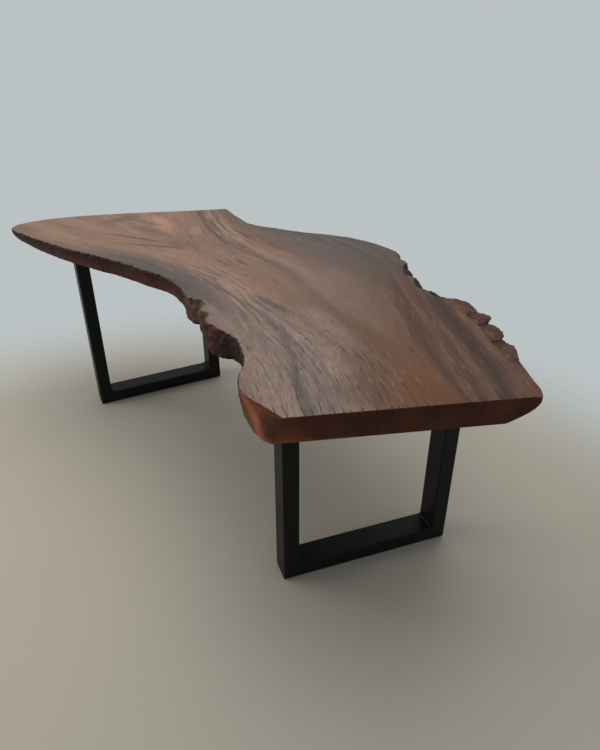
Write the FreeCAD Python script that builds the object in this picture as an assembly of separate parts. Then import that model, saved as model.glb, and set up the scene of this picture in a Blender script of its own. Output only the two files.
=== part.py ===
"""Live edge dining table: one natural hardwood slab bolted onto two welded steel leg frames.

Millimetres. +X runs from the far leg to the near leg, along the slab, and +Z is up. The origin is
on the floor, under the middle of the table's box. The near end of the slab is the square saw cut
one, its front is the hollow edge (-Y) and its back the knobbly edge (+Y).
"""
import FreeCAD
import Part
import math
import os
from collections import namedtuple

from FreeCAD import Vector

# Slab
TABLE_HEIGHT = 750.0
SLAB_THICKNESS = 70.0
SLAB_LENGTH = 2148.0      # over the widest line of its rim
SLAB_WIDTH = 1025.0
SIDE_RINGS = 4            # rings that shape the side below the rim
TURN_UNDER = 2.0          # how late an undercut side turns in: 1 is a straight slope

# Leg frames
NEAR_LEG_INSET = 419.0    # from the slab's near end to the middle of the near frame
FAR_LEG_INSET = 399.0
LEG_FRONT_INSET = 412.5   # from the slab's front to the middles of both frames
NEAR_LEG_TURN = -20.5     # degrees from square across the table
FAR_LEG_TURN = -13.5
FRAME_WIDTH = 560.0
TUBE_DEPTH = 80.0         # square to the frame's plane
TUBE_FACE = 50.0          # in the frame's plane
TUBE_WALL = 3.0
TUBE_CORNER = 4.0         # outside radius
CORNER_WELD = 6.0         # legs of the bead across an inner corner
WELD_CROWN = 0.6          # how far the bead's face swells, of its legs: 0.5 is flat
PLATE_WELD = 5.0

# Top plates
PLATE_THICKNESS = 8.0
PLATE_OVERHANG = 10.0
PLATE_CORNER = 10.0
SLOT_TRAVEL = 8.0         # room for the wood to move across its grain
BOLT_ROWS = 2
BOLT_COLUMNS = 3
BOLT_EDGE = 22.0          # from a plate's long edge to its row of bolts
WASHER_SPACE = 18.0       # between an upright and the nearest washers

# Fasteners
BOLT_DIAMETER = 8.0
BOLT_LENGTH = 30.0
BOLT_HEAD_ACROSS_FLATS = 13.0
BOLT_HEAD_HEIGHT = 5.3
BOLT_TIP_CHAMFER = 1.0
HEAD_CHAMFER_ANGLE = 30.0
HEAD_FACE_SHARE = 0.94    # flat face of the head, of its width across flats
SLOT_CLEARANCE = 1.0      # slot width over bolt diameter
WASHER_DIAMETER = 24.0
WASHER_THICKNESS = 2.0
WASHER_CLEARANCE = 0.4    # washer hole over bolt diameter
INSERT_DIAMETER = 12.0
INSERT_LENGTH = 22.0
INSERT_BORE_CLEARANCE = 0.2
INSERT_HOLE_CLEARANCE = 0.2
INSERT_HOLE_SPARE = 8.0   # hole below the insert, for the bolt's tip

# Floor pads
PAD_THICKNESS = 3.0
PAD_LENGTH = 70.0
PAD_WIDTH = 44.0
PAD_CORNER = 6.0
PAD_INSET = 14.0          # from the end of the floor rail

# The slab's rim, station by station. x and y are on its widest line, wane is the width of the slope
# above that line, drop is how far the line lies below the top, and under is how far the underside's
# edge stands inside the line (outside it where negative).
Rim = namedtuple("Rim", "x y wane drop under")

# From the saw cut's front corner, round the near bulge and the pockets, to the far tip
FRONT_EDGE = [
    Rim(760, -503, 2, 2, -22),
    Rim(714, -506, 2, 2, -25),
    Rim(668, -509, 2, 2, -15),
    Rim(626, -512, 2, 2, 2),
    Rim(600, -506, 2, 3, 8),
    Rim(575, -493, 3, 3, 14),
    Rim(550, -476, 3, 3, 16),
    Rim(515, -437, 3, 3, 14),
    Rim(482, -410, 3, 3, 12),
    Rim(430, -385, 3, 3, 12),
    Rim(376, -366, 3, 3, -4),
    Rim(333, -365, 3, 4, -22),
    Rim(292, -367, 3, 4, -25),
    Rim(256, -372, 3, 4, -8),
    Rim(228, -368, 3, 3, 0),
    Rim(210, -350, 3, 4, -8),
    Rim(196, -331, 3, 4, -20),
    Rim(178, -331, 3, 4, -15),
    Rim(160, -337, 3, 4, -6),
    Rim(140, -317, 3, 4, -12),
    Rim(120, -302, 3, 5, -26),
    Rim(94, -297, 3, 5, -33),
    Rim(68, -313, 3, 5, -15),
    Rim(40, -317, 3, 4, -2),
    Rim(0, -303, 3, 4, 8),
    Rim(-60, -294, 3, 4, 15),
    Rim(-126, -288, 3, 4, 20),
    Rim(-230, -308, 3, 4, 22),
    Rim(-380, -343, 3, 4, 24),
    Rim(-600, -416, 3, 4, 28),
    Rim(-770, -463, 3, 4, 36),
    Rim(-930, -498, 3, 4, 48),
    Rim(-990, -506, 3, 4, 55),
    Rim(-1036, -500, 3, 4, 55),
    Rim(-1062, -475, 3, 4, 50),
]

# From the far tip, along the far end, to the far back corner
FAR_END = [
    Rim(-1074, -430, 3, 4, 42),
    Rim(-1074, -365, 3, 4, 34),
    Rim(-1053, -278, 3, 3, 26),
    Rim(-1013, -180, 3, 3, 20),
    Rim(-926, -13, 3, 3, 15),
    Rim(-825, 152, 3, 3, 12),
    Rim(-770, 248, 3, 3, 12),
]

# From the far back corner, past the hollow and the hump, along the knobbly edge to the saw cut
BACK_EDGE = [
    Rim(-718, 346, 3, 3, 12),
    Rim(-690, 341, 3, 3, 18),
    Rim(-620, 322, 3, 3, 24),
    Rim(-530, 303, 3, 4, 28),
    Rim(-465, 294, 3, 4, 28),
    Rim(-405, 308, 3, 4, 30),
    Rim(-335, 342, 3, 4, 30),
    Rim(-240, 383, 3, 4, 30),
    Rim(-140, 448, 3, 4, 30),
    Rim(-50, 487, 3, 4, 32),
    Rim(40, 511, 3, 4, 32),
    Rim(110, 513, 4, 4, 32),
    Rim(178, 503, 5, 4, 32),
    Rim(228, 465, 6, 5, 28),
    Rim(252, 462, 8, 5, 30),
    Rim(300, 438, 10, 6, 30),
    Rim(342, 408, 12, 6, 28),
    Rim(370, 374, 12, 7, 24),
    Rim(394, 369, 14, 7, 26),
    Rim(436, 347, 18, 8, 28),
    Rim(472, 323, 20, 8, 24),
    Rim(502, 331, 30, 10, 32),
    Rim(534, 322, 38, 10, 30),
    Rim(564, 350, 62, 14, 46),
    Rim(612, 356, 78, 16, 54),
    Rim(648, 345, 80, 16, 54),
    Rim(684, 322, 74, 14, 50),
    Rim(716, 324, 84, 14, 58),
    Rim(744, 288, 66, 12, 48),
    Rim(772, 279, 70, 13, 52),
    Rim(804, 262, 70, 13, 54),
    Rim(836, 222, 58, 11, 46),
    Rim(868, 205, 60, 12, 50),
    Rim(896, 187, 58, 11, 52),
    Rim(926, 152, 46, 9, 50),
    Rim(978, 102, 28, 7, 54),
    Rim(1030, 62, 20, 5, 62),
    Rim(1060, 36, 16, 4, 70),
    Rim(1074, 10, 12, 3, 78),
]


def rounded_rectangle(length_x, length_y, corner, z):
    """Closed outline with rounded corners, centred on the Z axis."""
    half_x = length_x / 2
    half_y = length_y / 2
    diagonal = corner * (1 - math.sqrt(0.5))
    edges = []
    for turn in range(4):
        a, b = (half_x, half_y) if turn % 2 == 0 else (half_y, half_x)
        start = Vector(a, b - corner, z)
        middle = Vector(a - diagonal, b - diagonal, z)
        end = Vector(a - corner, b, z)
        straight = Part.LineSegment(Vector(a, corner - b, z), start).toShape()
        arc = Part.Arc(start, middle, end).toShape()
        for edge in (straight, arc):
            edge.rotate(Vector(0, 0, 0), Vector(0, 0, 1), 90.0 * turn)
            edges.append(edge)
    return Part.Wire(edges)


def prism(outline, height):
    """Upright solid on a flat outline."""
    return Part.Face(outline).extrude(Vector(0, 0, height))


def tube(length):
    """Hollow rectangular tube standing on Z = 0."""
    outside = rounded_rectangle(TUBE_DEPTH, TUBE_FACE, TUBE_CORNER, 0)
    inner_corner = max(TUBE_CORNER - TUBE_WALL, TUBE_WALL / 4)
    inside = rounded_rectangle(TUBE_DEPTH - 2 * TUBE_WALL, TUBE_FACE - 2 * TUBE_WALL, inner_corner, 0)
    return prism(outside, length).cut(prism(inside, length))


def between_mitres():
    """The space under a frame's two 45 degree mitres, where its floor rail lies."""
    low = PAD_THICKNESS - TUBE_CORNER
    high = PAD_THICKNESS + TUBE_FACE + TUBE_CORNER
    half_low = FRAME_WIDTH / 2 + TUBE_CORNER
    half_high = FRAME_WIDTH / 2 - TUBE_FACE - TUBE_CORNER
    corners = [
        Vector(-TUBE_DEPTH, -half_low, low),
        Vector(-TUBE_DEPTH, half_low, low),
        Vector(-TUBE_DEPTH, half_high, high),
        Vector(-TUBE_DEPTH, -half_high, high),
    ]
    return Part.Face(Part.makePolygon(corners + corners[:1])).extrude(Vector(2 * TUBE_DEPTH, 0, 0))


def upright(side):
    """One upright, mitred at its foot; side is -1 at the front of the table and +1 at the back."""
    top = TABLE_HEIGHT - SLAB_THICKNESS - PLATE_THICKNESS
    post = tube(top - PAD_THICKNESS)
    post.translate(Vector(0, side * (FRAME_WIDTH - TUBE_FACE) / 2, PAD_THICKNESS))
    return post.cut(between_mitres())


def floor_rail():
    """The rail between the uprights' feet, mitred at both ends."""
    rail = tube(FRAME_WIDTH)
    rail.rotate(Vector(0, 0, 0), Vector(1, 0, 0), -90.0)
    rail.translate(Vector(0, -FRAME_WIDTH / 2, PAD_THICKNESS + TUBE_FACE / 2))
    return rail.common(between_mitres())


def corner_welds():
    """A rounded weld bead across each inner bottom corner of a frame."""
    length = TUBE_DEPTH - 2 * TUBE_CORNER
    rail_top = PAD_THICKNESS + TUBE_FACE
    beads = []
    for side in (-1, 1):
        face_y = side * (FRAME_WIDTH / 2 - TUBE_FACE)
        root = Vector(-length / 2, face_y, rail_top)
        on_rail = root + Vector(0, -side * CORNER_WELD, 0)
        on_post = root + Vector(0, 0, CORNER_WELD)
        crown = root + Vector(0, -side, 1) * (CORNER_WELD * WELD_CROWN)
        edges = [
            Part.LineSegment(root, on_rail).toShape(),
            Part.Arc(on_rail, crown, on_post).toShape(),
            Part.LineSegment(on_post, root).toShape(),
        ]
        beads.append(Part.Face(Part.Wire(edges)).extrude(Vector(length, 0, 0)))
    return Part.makeCompound(beads)


def plate_welds():
    """A fillet weld all round the top of each upright, under the top plate."""
    plate_under = TABLE_HEIGHT - SLAB_THICKNESS - PLATE_THICKNESS
    low = rounded_rectangle(TUBE_DEPTH, TUBE_FACE, TUBE_CORNER, plate_under - PLATE_WELD)
    high = rounded_rectangle(
        TUBE_DEPTH + 2 * PLATE_WELD, TUBE_FACE + 2 * PLATE_WELD, TUBE_CORNER + PLATE_WELD, plate_under
    )
    flare = Part.makeLoft([low, high], True, True)
    core = prism(low, PLATE_WELD)
    welds = []
    for side in (-1, 1):
        weld = flare.cut(core)
        weld.translate(Vector(0, side * (FRAME_WIDTH - TUBE_FACE) / 2, 0))
        welds.append(weld)
    return Part.makeCompound(welds)


def bolt_places():
    """Where the bolts stand on a top plate, in the frame's own X and Y."""
    span_x = TUBE_DEPTH + 2 * PLATE_OVERHANG - 2 * BOLT_EDGE
    span_y = FRAME_WIDTH - 2 * TUBE_FACE - WASHER_DIAMETER - 2 * WASHER_SPACE
    places = []
    for row in range(BOLT_ROWS):
        for column in range(BOLT_COLUMNS):
            x = (row / (BOLT_ROWS - 1) - 0.5) * span_x
            y = (column / (BOLT_COLUMNS - 1) - 0.5) * span_y
            places.append(Vector(x, y, 0))
    return places


def slot(z, height):
    """A bolt slot that runs along the plate, with round ends."""
    radius = (BOLT_DIAMETER + SLOT_CLEARANCE) / 2
    half = SLOT_TRAVEL / 2
    edges = [
        Part.LineSegment(Vector(radius, -half, z), Vector(radius, half, z)).toShape(),
        Part.Arc(Vector(radius, half, z), Vector(0, half + radius, z), Vector(-radius, half, z)).toShape(),
        Part.LineSegment(Vector(-radius, half, z), Vector(-radius, -half, z)).toShape(),
        Part.Arc(Vector(-radius, -half, z), Vector(0, -half - radius, z), Vector(radius, -half, z)).toShape(),
    ]
    return prism(Part.Wire(edges), height)


def top_plate():
    """The slotted plate that carries the slab."""
    low = TABLE_HEIGHT - SLAB_THICKNESS - PLATE_THICKNESS
    outline = rounded_rectangle(
        TUBE_DEPTH + 2 * PLATE_OVERHANG, FRAME_WIDTH + 2 * PLATE_OVERHANG, PLATE_CORNER, low
    )
    plate = prism(outline, PLATE_THICKNESS)
    for place in bolt_places():
        hole = slot(low - PLATE_THICKNESS, 3 * PLATE_THICKNESS)
        hole.translate(place)
        plate = plate.cut(hole)
    return plate


def at_bolt_places(shape):
    """Separate copies of a fastener, one at each bolt."""
    copies = []
    for place in bolt_places():
        copy = shape.copy()
        copy.translate(place)
        copies.append(copy)
    return Part.makeCompound(copies)


def bolts():
    """Hexagon bolts, heads down, through washer and plate into the inserts."""
    seat = TABLE_HEIGHT - SLAB_THICKNESS - PLATE_THICKNESS - WASHER_THICKNESS
    low = seat - BOLT_HEAD_HEIGHT
    corner_radius = BOLT_HEAD_ACROSS_FLATS / math.sqrt(3)
    corners = []
    for step in range(6):
        angle = math.radians(60 * step)
        corners.append(Vector(corner_radius * math.cos(angle), corner_radius * math.sin(angle), low))
    hexagon = prism(Part.makePolygon(corners + corners[:1]), BOLT_HEAD_HEIGHT)
    face_radius = HEAD_FACE_SHARE * BOLT_HEAD_ACROSS_FLATS / 2
    spread = BOLT_HEAD_HEIGHT / math.tan(math.radians(HEAD_CHAMFER_ANGLE))
    corner_cone = Part.makeCone(face_radius, face_radius + spread, BOLT_HEAD_HEIGHT, Vector(0, 0, low))
    head = hexagon.common(corner_cone)
    radius = BOLT_DIAMETER / 2
    shank_length = BOLT_LENGTH - BOLT_TIP_CHAMFER
    shank = Part.makeCylinder(radius, shank_length, Vector(0, 0, seat))
    shank_end = Vector(0, 0, seat + shank_length)
    tip = Part.makeCone(radius, radius - BOLT_TIP_CHAMFER, BOLT_TIP_CHAMFER, shank_end)
    return at_bolt_places(head.fuse([shank, tip]).removeSplitter())


def ring(outer_diameter, inner_diameter, height, z):
    """A plain round ring standing on height z."""
    outside = Part.makeCylinder(outer_diameter / 2, height, Vector(0, 0, z))
    return outside.cut(Part.makeCylinder(inner_diameter / 2, height, Vector(0, 0, z)))


def washers():
    """Broad washers that bridge the plate's slots."""
    low = TABLE_HEIGHT - SLAB_THICKNESS - PLATE_THICKNESS - WASHER_THICKNESS
    return at_bolt_places(ring(WASHER_DIAMETER, BOLT_DIAMETER + WASHER_CLEARANCE, WASHER_THICKNESS, low))


def inserts():
    """Threaded inserts, flush with the slab's underside."""
    low = TABLE_HEIGHT - SLAB_THICKNESS
    return at_bolt_places(ring(INSERT_DIAMETER, BOLT_DIAMETER + INSERT_BORE_CLEARANCE, INSERT_LENGTH, low))


def insert_holes():
    """The blind holes for the inserts, in one leg's own frame."""
    radius = (INSERT_DIAMETER + INSERT_HOLE_CLEARANCE) / 2
    low = TABLE_HEIGHT - SLAB_THICKNESS
    depth = max(INSERT_LENGTH, BOLT_LENGTH - PLATE_THICKNESS - WASHER_THICKNESS) + INSERT_HOLE_SPARE
    return at_bolt_places(Part.makeCylinder(radius, depth, Vector(0, 0, low)))


def floor_pads():
    """Two rubber pads under the ends of a floor rail."""
    pads = []
    for side in (-1, 1):
        pad = prism(rounded_rectangle(PAD_WIDTH, PAD_LENGTH, PAD_CORNER, 0), PAD_THICKNESS)
        pad.translate(Vector(0, side * (FRAME_WIDTH / 2 - PAD_INSET - PAD_LENGTH / 2), 0))
        pads.append(pad)
    return Part.makeCompound(pads)


def rim_stations():
    """The rim's stations, stretched from their pattern to the slab's length and width."""
    stations = FRONT_EDGE + FAR_END + BACK_EDGE
    xs = [station.x for station in stations]
    ys = [station.y for station in stations]
    stretch_x = SLAB_LENGTH / (max(xs) - min(xs))
    stretch_y = SLAB_WIDTH / (max(ys) - min(ys))
    return [station._replace(x=station.x * stretch_x, y=station.y * stretch_y) for station in stations]


def outward_directions(stations):
    """Level directions out of the slab; at the saw cut's two corners they lie along the cut."""
    points = [Vector(station.x, station.y, 0) for station in stations]
    directions = []
    for index in range(len(points)):
        along = points[(index + 1) % len(points)] - points[index - 1]
        directions.append(Vector(-along.y, along.x, 0).normalize())
    cut = (points[0] - points[-1]).normalize()
    directions[0] = cut
    directions[-1] = -cut
    return directions


def ring_wire(points, parameters, breaks):
    """One closed ring of smooth stretches between the given breaks, closed by the straight saw cut."""
    edges = []
    for first, last in zip(breaks[:-1], breaks[1:]):
        curve = Part.BSplineCurve()
        spans = [parameters[i] - parameters[first] for i in range(first, last + 1)]
        curve.interpolate(Points=points[first:last + 1], Parameters=spans)
        edges.append(curve.toShape())
    edges.append(Part.LineSegment(points[-1], points[0]).toShape())
    return Part.Wire(edges)


def side_ring(stations, outward, depth_share):
    """Points round the slab's side, from the rim at share 0 to the underside's edge at share 1."""
    points = []
    for station, direction in zip(stations, outward):
        depth = station.drop + (SLAB_THICKNESS - station.drop) * depth_share
        turned_in = depth_share ** TURN_UNDER if station.under > 0 else depth_share
        place = Vector(station.x, station.y, TABLE_HEIGHT - depth)
        points.append(place - direction * (station.under * turned_in))
    return points


def slab():
    """The natural slab, skinned over rings from the flat underside, up its side, to the flat top."""
    stations = rim_stations()
    outward = outward_directions(stations)
    parameters = [0.0]
    for before, after in zip(stations[:-1], stations[1:]):
        parameters.append(parameters[-1] + math.hypot(after.x - before.x, after.y - before.y))
    tip = len(FRONT_EDGE)
    far_corner = tip + len(FAR_END)
    breaks = [0, tip, far_corner, len(stations) - 1]
    levels = [side_ring(stations, outward, 1 - step / SIDE_RINGS) for step in range(SIDE_RINGS + 1)]
    levels.append([
        Vector(station.x, station.y, TABLE_HEIGHT) - direction * station.wane
        for station, direction in zip(stations, outward)
    ])
    return Part.makeLoft([ring_wire(points, parameters, breaks) for points in levels], True, True)


def leg_place(end):
    """Where a leg frame stands on the floor; end is +1 for the near leg and -1 for the far one."""
    turn = NEAR_LEG_TURN if end > 0 else FAR_LEG_TURN
    inset = NEAR_LEG_INSET if end > 0 else FAR_LEG_INSET
    middle = Vector(end * (SLAB_LENGTH / 2 - inset), LEG_FRONT_INSET - SLAB_WIDTH / 2, 0)
    return FreeCAD.Placement(middle, FreeCAD.Rotation(Vector(0, 0, 1), turn))


def build():
    """All nodes by name, with the origin under the middle of the table's box."""
    leg_pieces = {
        "front_upright": upright(-1),
        "back_upright": upright(1),
        "floor_rail": floor_rail(),
        "top_plate": top_plate(),
        "corner_welds": corner_welds(),
        "plate_welds": plate_welds(),
        "bolts": bolts(),
        "washers": washers(),
        "inserts": inserts(),
        "floor_pads": floor_pads(),
    }
    top = slab()
    nodes = {}
    for leg, end in (("near_leg", 1), ("far_leg", -1)):
        place = leg_place(end).toMatrix()
        for name, shape in leg_pieces.items():
            nodes[f"{leg}_{name}"] = shape.transformed(place)
        top = top.cut(insert_holes().transformed(place))
    nodes["slab_top"] = top
    middle = top.optimalBoundingBox(False, False).Center
    for shape in nodes.values():
        shape.translate(Vector(-middle.x, -middle.y, 0))
    return nodes


os.makedirs("parts", exist_ok=True)
for node, shape in build().items():
    shape.exportStep(f"parts/{node}.step")
    print(node, len(shape.Solids), round(shape.Volume), shape.isValid())
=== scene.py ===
"""Live edge table: the looks of a natural hardwood slab on two welded steel leg frames.

Metres, +Z up. +X runs along the slab to its square saw cut end, and -Y is the front, where the slab
has its hollow edge with pockets. The back edge has the knobs.
"""
import bmesh
import bpy
import math
import numpy as np
from mathutils import Matrix, Vector, noise


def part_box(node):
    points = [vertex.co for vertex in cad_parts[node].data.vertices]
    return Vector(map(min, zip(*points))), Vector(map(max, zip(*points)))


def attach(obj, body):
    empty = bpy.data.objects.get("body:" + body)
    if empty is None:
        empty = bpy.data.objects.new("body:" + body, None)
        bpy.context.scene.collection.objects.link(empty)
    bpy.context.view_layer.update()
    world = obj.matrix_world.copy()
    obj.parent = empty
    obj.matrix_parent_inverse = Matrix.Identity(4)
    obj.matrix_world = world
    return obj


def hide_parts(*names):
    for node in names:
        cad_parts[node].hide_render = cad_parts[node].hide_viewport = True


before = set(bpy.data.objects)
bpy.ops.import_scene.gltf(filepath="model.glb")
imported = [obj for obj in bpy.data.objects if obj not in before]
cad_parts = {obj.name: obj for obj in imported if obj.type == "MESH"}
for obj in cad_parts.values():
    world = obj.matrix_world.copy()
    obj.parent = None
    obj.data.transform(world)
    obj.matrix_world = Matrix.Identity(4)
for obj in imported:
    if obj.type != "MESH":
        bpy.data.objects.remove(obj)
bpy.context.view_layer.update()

# Leg tubes and top plates
# Each leg is two uprights and a floor rail of rectangular steel tube, mitred at the feet and welded,
# with a flat plate on top. The whole frame is powder coated satin black after welding.
LEGS = ("near_leg", "far_leg")
COATED_PIECES = ("front_upright", "back_upright", "floor_rail", "top_plate")
COAT_BLACK = (8, 8, 10)
COAT_GREY = (15, 15, 17)
COAT_SHEEN = 0.2
PEEL_SIZE = 0.0028            # one swelling of the powder coat's orange peel
PEEL_HEIGHT = 0.00005
CLOUD_SIZE = 0.12             # patches where the coat is a little thinner and duller
DUST_REACH = 0.09             # how far floor dust climbs up the frame


class Signal:
    """One output of a material's nodes. Arithmetic on it adds Math nodes."""

    def __init__(self, output):
        self.output = output
        self.tree = output.id_data

    def node(self, kind, settings=None, inputs=None, output=0):
        """Adds any other node: its settings are made first, then its inputs are linked or set."""
        made = self.tree.nodes.new("ShaderNode" + kind)
        for name, value in (settings or {}).items():
            if name == "stops":
                set_stops(made.color_ramp.elements, value)
            elif name == "curve":
                set_curve(made.mapping, value)
            else:
                setattr(made, name, value)
        for name, value in (inputs or {}).items():
            feed(made.inputs[name], value)
        return Signal(made.outputs[output])

    def other(self, output):
        """Another output of the same node."""
        return Signal(self.output.node.outputs[output])

    def math(self, operation, first, second):
        """Maths on two values."""
        return self.node("Math", {"operation": operation}, {0: first, 1: second})

    def vector(self, operation, second=(0, 0, 0), output=0):
        """Vector maths on this and a second vector."""
        return self.node("VectorMath", {"operation": operation}, {0: self, 1: second}, output)

    def __add__(self, value):
        return self.math("ADD", self, value)

    def __sub__(self, value):
        return self.math("SUBTRACT", self, value)

    def __rsub__(self, value):
        return self.math("SUBTRACT", value, self)

    def __mul__(self, value):
        return self.math("MULTIPLY", self, value)

    def __truediv__(self, value):
        return self.math("DIVIDE", self, value)

    def __rtruediv__(self, value):
        return self.math("DIVIDE", value, self)

    __radd__ = __add__
    __rmul__ = __mul__

    def rise(self, low, high):
        """0 up to low, 1 from high, and smooth between; it falls where low is the greater."""
        limits = {"Value": self, "From Min": low, "From Max": high}
        return self.node("MapRange", {"interpolation_type": "SMOOTHSTEP"}, limits)

    def between(self, first, second):
        """The first colour where this is 0, the second where it is 1."""
        colours = {0: self, 6: tone(first), 7: tone(second)}
        return self.node("Mix", {"data_type": "RGBA"}, colours, 2)

    def grain(self, stretch, detail=2.0, roughness=0.5):
        """Noise from 0 to 1 on this vector, with that many swellings to the metre in X, Y and Z."""
        scaled = self.vector("MULTIPLY", stretch)
        inputs = {"Vector": scaled, "Scale": 1.0, "Detail": detail, "Roughness": roughness}
        return self.node("TexNoise", None, inputs)


def feed(socket, value):
    """Links a signal to a socket, or sets the socket to a plain value."""
    if isinstance(value, Signal):
        value.tree.links.new(value.output, socket)
    else:
        socket.default_value = value


def set_stops(elements, stops):
    """Gives a colour ramp its stops, each a position and a colour."""
    while len(elements) < len(stops):
        elements.new(1.0)
    for element, (position, colour) in zip(elements, stops):
        element.position = position
        element.color = colour


def set_curve(mapping, points):
    """Gives a curve node its points, from left to right."""
    curve = mapping.curves[0].points
    while len(curve) < len(points):
        curve.new(1.0, 1.0)
    for knot, point in zip(curve, points):
        knot.location = point
    mapping.update()


def tone(colour):
    """A colour as seen on a screen, 0 to 255, in a shader's light values. A signal is one already."""
    if isinstance(colour, Signal):
        return colour
    shares = [part / 255 for part in colour]
    return tuple(s / 12.92 if s < 0.04045 else ((s + 0.055) / 1.055) ** 2.4 for s in shares) + (1.0,)


def new_finish(name):
    """A new material with its Principled shader, and the place on the piece as a signal."""
    material = bpy.data.materials.new(name)
    material.use_nodes = True
    tree = material.node_tree
    shader = tree.nodes["Principled BSDF"]
    place = Signal(tree.nodes.new("ShaderNodeTexCoord").outputs["Object"])
    return material, shader, place


def per_metre(size):
    """Equal noise scales for swellings of one size."""
    return (1 / size, 1 / size, 1 / size)


def emboss(shader, height, distance, strength):
    """Gives a finish its fine relief."""
    bump = {"Height": height, "Distance": distance, "Strength": strength}
    feed(shader.inputs["Normal"], height.node("Bump", None, bump))


def powder_coat(name):
    """Satin black powder coat: orange peel, thin clouds, and a breath of dust near the floor."""
    coat, shader, place = new_finish(name)
    peel = place.grain(per_metre(PEEL_SIZE), 1.0)
    cloud = place.grain(per_metre(CLOUD_SIZE), 3.0)
    height = place.node("SeparateXYZ", None, {0: place}, 2)
    dust = height.rise(DUST_REACH, 0.0) * cloud * 0.5
    feed(shader.inputs["Base Color"], (cloud * 0.4 + dust).between(COAT_BLACK, COAT_GREY))
    feed(shader.inputs["Roughness"], 0.40 + cloud * 0.12 + dust * 0.2 + peel * 0.04)
    feed(shader.inputs["Specular IOR Level"], COAT_SHEEN)
    emboss(shader, peel, PEEL_HEIGHT, 0.6)
    return coat


def dress(nodes, material):
    """Gives CAD pieces that keep their own shape a better finish."""
    for node in nodes:
        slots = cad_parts[node].data.materials
        slots.clear()
        slots.append(material)


tube_coat = powder_coat("satin_black_coat")
dress([f"{leg}_{part}" for leg in LEGS for part in COATED_PIECES], tube_coat)

# Weld beads
# A short bead lies across each inner corner at the feet, and a fillet runs round the head of each
# upright, under its plate. Both are arc welded in overlapping ripples, then coated with the frame.
RIPPLE = 0.0026               # from one frozen ripple to the next
RIPPLE_HEIGHT = 0.13          # of the bead's size
RIPPLE_SWEEP = 0.9            # how far a ripple's middle runs ahead of its ends, in ripples
RIPPLE_MIDDLE = 0.7           # the share of a ripple's height that lies below the bead's own face
RIPPLE_SHIFT = 0.4            # how far the hand's unevenness shifts a ripple, in ripples
UNEVEN = 0.06                 # and how far it swells the bead, of the bead's size
UNEVEN_LENGTH = 0.012
UNEVEN_SEED = 3.7             # sets one leg's unevenness apart from the other's
BEAD_CROWN = 0.16             # how far the bead's face swells past flat, of its legs
BEAD_STEP = 0.0005
BEAD_FACE_STEPS = 9
CORNER_BEAD = 0.006           # legs of the beads
HEAD_BEAD = 0.005
HEAD_RADIUS = 0.004           # corner of the tube
CORNER_BEAD_CLEAR = 0.004     # from a bead's end to the side of the tube
MERGE = 0.00001               # points this close are one


def leg_layout(leg):
    """A leg's middle on the floor, its ways through and across it, its half span and its tube's sizes."""
    front_low, front_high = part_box(f"{leg}_front_upright")
    back_low, back_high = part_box(f"{leg}_back_upright")
    front = (front_low + front_high) / 2
    back = (back_low + back_high) / 2
    middle = (front + back) / 2
    across = (back - front).normalized()
    through = Vector((across.y, -across.x, 0))
    half_span = (back - front).length / 2
    places = [vertex.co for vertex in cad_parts[f"{leg}_front_upright"].data.vertices]
    depths = [place.dot(through) for place in places]
    faces = [place.dot(across) for place in places]
    on_floor = Vector((middle.x, middle.y, 0))
    return on_floor, through, across, half_span, max(depths) - min(depths), max(faces) - min(faces)


def wrapped_grid(bm, columns, rows, place):
    """A grid wrapped into a shape: place gives the point for each column along it and row up it."""
    made = bmesh.ops.create_grid(bm, x_segments=columns, y_segments=rows, size=0.5, calc_uvs=True)
    for vert in made["verts"]:
        vert.co = place(round((vert.co.x + 0.5) * columns), round((vert.co.y + 0.5) * rows))
    return made["verts"]


def weld_bead(bm, stations, size, seed):
    """A rippled fillet along stations, each a root point with the directions of its two legs."""
    steps = len(stations) - 1
    around = BEAD_FACE_STEPS + 2

    def bead_point(column, row):
        root, first_leg, second_leg = stations[column]
        if row in (0, around):
            return root
        share = (row - 1) / BEAD_FACE_STEPS
        swept = column * BEAD_STEP / RIPPLE + RIPPLE_SWEEP * (2 * share - 1) ** 2
        wander = noise.noise(Vector((column * BEAD_STEP / UNEVEN_LENGTH, seed, share)))
        crest = swept + RIPPLE_SHIFT * wander
        ripple = math.sqrt(crest - math.floor(crest)) - RIPPLE_MIDDLE
        arch = math.sin(math.pi * share)
        reach = size * (1 + UNEVEN * wander + RIPPLE_HEIGHT * ripple * arch)
        flat = first_leg * (1 - share) + second_leg * share
        crown = (first_leg + second_leg) * (BEAD_CROWN * arch)
        return root + (flat + crown) * reach

    verts = wrapped_grid(bm, steps, around, bead_point)
    bmesh.ops.remove_doubles(bm, verts=verts, dist=MERGE)


def finish_piece(name, bm, material, nodes):
    """Makes the piece from its bmesh and hangs it on the table in place of its CAD nodes."""
    bmesh.ops.holes_fill(bm, edges=bm.edges)
    bmesh.ops.recalc_face_normals(bm, faces=bm.faces)
    mesh = bpy.data.meshes.new(name)
    bm.to_mesh(mesh)
    bm.free()
    mesh.materials.append(material)
    piece = bpy.data.objects.new(name, mesh)
    bpy.context.scene.collection.objects.link(piece)
    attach(piece, "root")
    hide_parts(*nodes)


def corner_bead_stations(leg, side):
    """Along the bead between a floor rail's top and an upright; side is -1 in front, +1 behind."""
    middle, through, across, half_span, depth, face = leg_layout(leg)
    length = depth - 2 * CORNER_BEAD_CLEAR
    rail_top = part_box(f"{leg}_floor_rail")[1].z
    root = middle + across * side * (half_span - face / 2) + Vector((0, 0, rail_top))
    steps = round(length / BEAD_STEP)
    places = [root + through * (length * (step / steps - 0.5)) for step in range(steps + 1)]
    return [(place, across * -side, Vector((0, 0, 1))) for place in places]


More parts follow.
